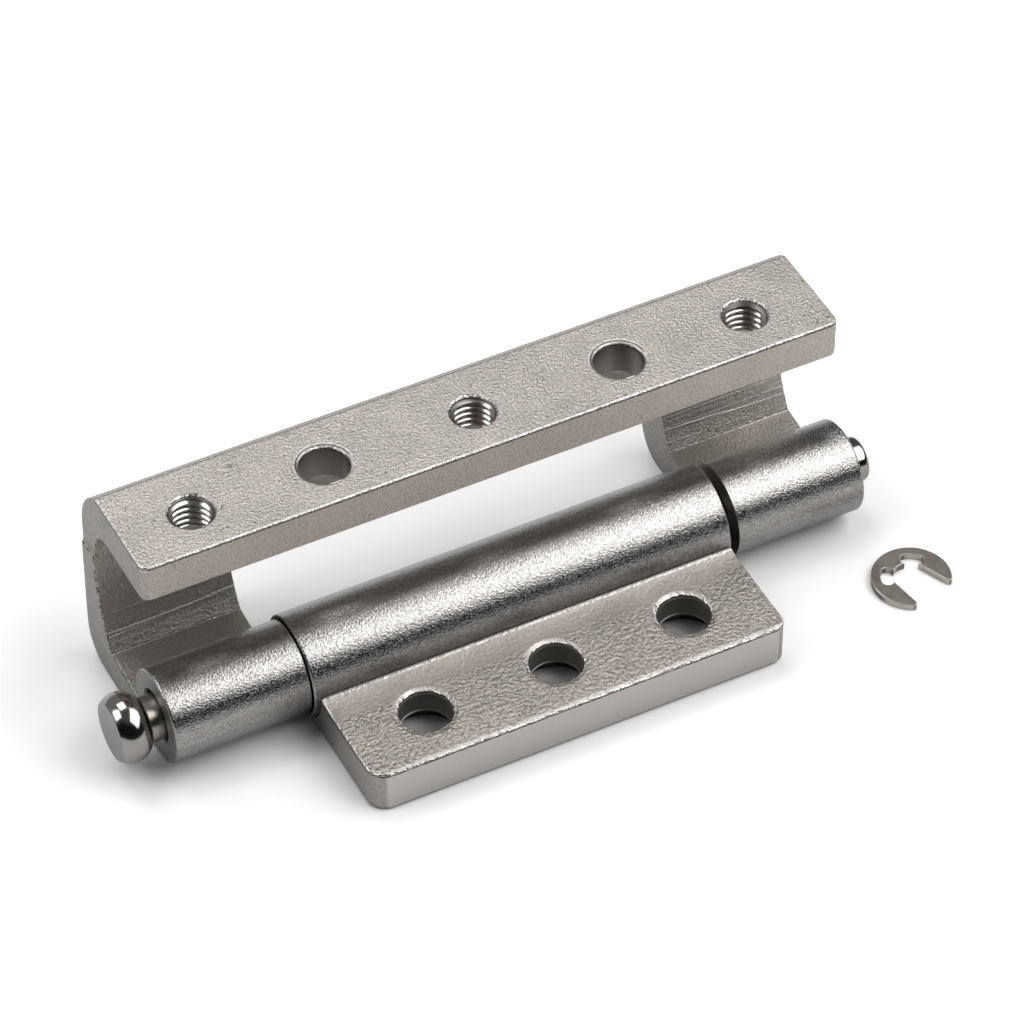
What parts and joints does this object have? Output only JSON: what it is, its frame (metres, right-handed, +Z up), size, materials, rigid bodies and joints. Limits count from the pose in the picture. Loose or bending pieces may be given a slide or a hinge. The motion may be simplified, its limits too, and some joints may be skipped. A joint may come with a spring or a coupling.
{
  "type": "lift off hinge",
  "caption": "Lift-off hinge: a hooked frame leaf on knuckles, a flat door leaf on a long barrel, a headed pin and its retaining clip.",
  "frame": {"origin": "on the door leaf's seat plane, straight below the pin's axis, midway between the frame leaf's knuckles", "axes": "+X along the pin from its head to its grooved end, +Y from the door leaf to the frame leaf, +Z up out of the door leaf's seat"},
  "size_m": [0.1136, 0.0444, 0.0311],
  "materials": {
    "frame_casting": "satin nickel-plated zinc casting with a fine cast grain",
    "leaf_casting": "satin nickel-plated zinc casting with a pebbled grain",
    "polished_steel": "polished plated steel",
    "spring_steel": "dull dark spring steel"
  },
  "bodies": {
    "frame": {"frame_leaf": "frame_casting", "retaining_clip": "spring_steel"},
    "leaf": {"door_leaf": "leaf_casting"},
    "pin": {"hinge_pin": "polished_steel"}
  },
  "joints": [
    {"name": "leaf_swing", "type": "hinge", "parent": "frame", "child": "leaf", "pos_m": [0, 0, 0.00715], "axis": [-1, 0, 0], "range_deg": [-188, 97]},
    {"name": "pin_draw", "type": "slide", "parent": "frame", "child": "pin", "axis": [-1, 0, 0], "range_m": [-0.002, 0.105]}
  ]
}
